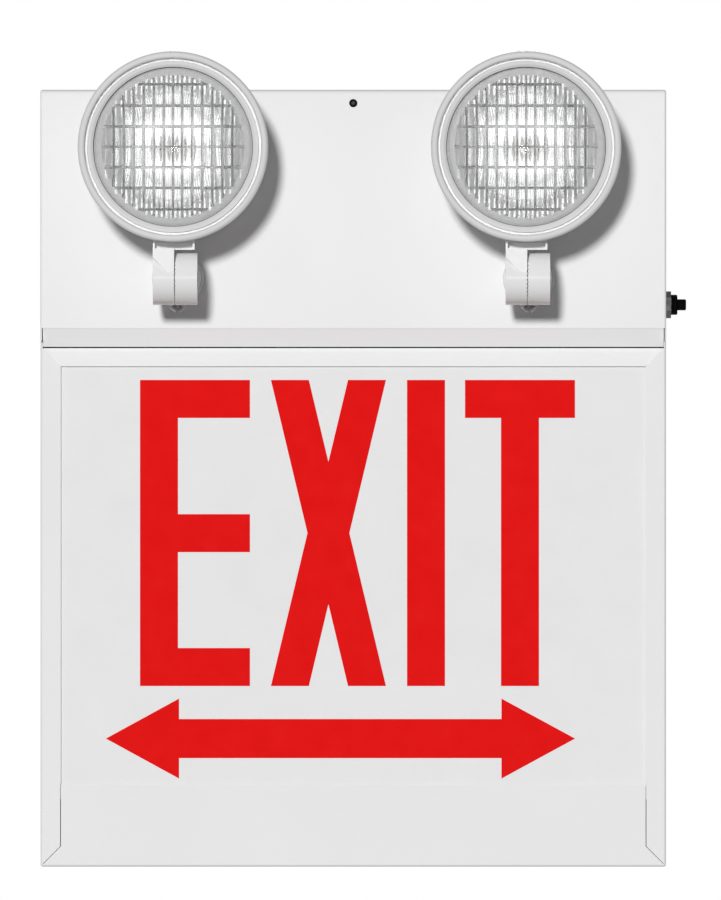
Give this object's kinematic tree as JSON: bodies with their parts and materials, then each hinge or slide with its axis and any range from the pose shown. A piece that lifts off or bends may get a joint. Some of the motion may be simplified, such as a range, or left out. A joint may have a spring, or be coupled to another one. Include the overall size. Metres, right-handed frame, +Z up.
{
  "type": "emergency exit light",
  "caption": "Wall unit with a lit exit sign below a battery compartment that carries two lamp heads on pan and tilt swivels.",
  "frame": {"origin": "centre of the rear cable entry, on the wall plane", "axes": "+X to the viewer's right, +Y into the wall, +Z up"},
  "size_m": [0.4292, 0.1663, 0.5398],
  "materials": {
    "white_steel": "white powder coat, satin",
    "panel_white": "white acrylic, satin",
    "white_plastic": "white, gloss",
    "white_screw": "white",
    "zinc_steel": "zinc plated",
    "black_plastic": "black, matt",
    "lamp_glass": "clear, fluted inside",
    "bulb_glass": "clear",
    "lamp_mirror": "aluminised",
    "brass": "plain",
    "aluminium": "mill",
    "board_white": "white solder mask",
    "led_yellow": "phosphor",
    "pilot_clear": "frosted",
    "battery_grey": "dark grey",
    "board_green": "green solder mask",
    "white_nylon": "natural",
    "relay_blue": "blue",
    "terminal_green": "green",
    "core_steel": "laminated",
    "winding_yellow": "copper wire under yellow tape"
  },
  "bodies": {
    "housing": {"back_plate": "white_steel", "entry_bushing": "black_plastic", "sign_frame": "white_steel", "divider_shelf": "white_steel", "battery_cover": "white_steel", "cover_screws": "zinc_steel", "cover_nuts": "zinc_steel", "sign_panel": "panel_white", "panel_clips": "zinc_steel", "led_channel": "aluminium", "led_board": "board_white", "sign_leds": "led_yellow", "left_stem": "white_plastic", "left_stem_washer": "zinc_steel", "left_stem_nut": "zinc_steel", "right_stem": "white_plastic", "right_stem_washer": "zinc_steel", "right_stem_nut": "zinc_steel", "switch_body": "black_plastic", "switch_nut": "zinc_steel", "switch_collar": "black_plastic", "pilot_holder": "black_plastic", "pilot_lens": "pilot_clear", "battery": "battery_grey", "battery_strap": "zinc_steel", "charger_board": "board_green", "board_posts": "white_nylon", "board_screws": "zinc_steel", "transfer_relay": "relay_blue", "filter_capacitors": "black_plastic", "supply_terminals": "terminal_green", "transformer_core": "core_steel", "transformer_winding": "winding_yellow"},
    "switch_plunger": {"test_button": "black_plastic"},
    "left_swivel": {"left_knuckle": "white_plastic", "left_lock_screw": "white_screw"},
    "left_head": {"left_head_body": "white_plastic", "left_pivot_screw": "zinc_steel", "left_pivot_nut": "zinc_steel", "left_front_ring": "white_plastic", "left_lamp_lens": "lamp_glass", "left_lamp_reflector": "lamp_mirror", "left_lamp_bulb": "bulb_glass", "left_lamp_terminals": "brass"},
    "right_swivel": {"right_knuckle": "white_plastic", "right_lock_screw": "white_screw"},
    "right_head": {"right_head_body": "white_plastic", "right_pivot_screw": "zinc_steel", "right_pivot_nut": "zinc_steel", "right_front_ring": "white_plastic", "right_lamp_lens": "lamp_glass", "right_lamp_reflector": "lamp_mirror", "right_lamp_bulb": "bulb_glass", "right_lamp_terminals": "brass"}
  },
  "joints": [
    {"name": "left_pan", "type": "hinge", "parent": "housing", "child": "left_swivel", "pos_m": [-0.1164, -0.145, -0.0398], "axis": [0, 1, 0], "range_deg": [-165, 165]},
    {"name": "left_tilt", "type": "hinge", "parent": "left_swivel", "child": "left_head", "pos_m": [-0.1164, -0.145, -0.0398], "axis": [1, 0, 0], "range_deg": [-5, 90]},
    {"name": "right_pan", "type": "hinge", "parent": "housing", "child": "right_swivel", "pos_m": [0.1164, -0.145, -0.0398], "axis": [0, 1, 0], "range_deg": [-165, 165]},
    {"name": "right_tilt", "type": "hinge", "parent": "right_swivel", "child": "right_head", "pos_m": [0.1164, -0.145, -0.0398], "axis": [1, 0, 0], "range_deg": [-5, 90]},
    {"name": "test_press", "type": "slide", "parent": "housing", "child": "switch_plunger", "axis": [-1, 0, 0], "range_m": [0, 0.003], "stiffness_N_per_m": 900}
  ]
}
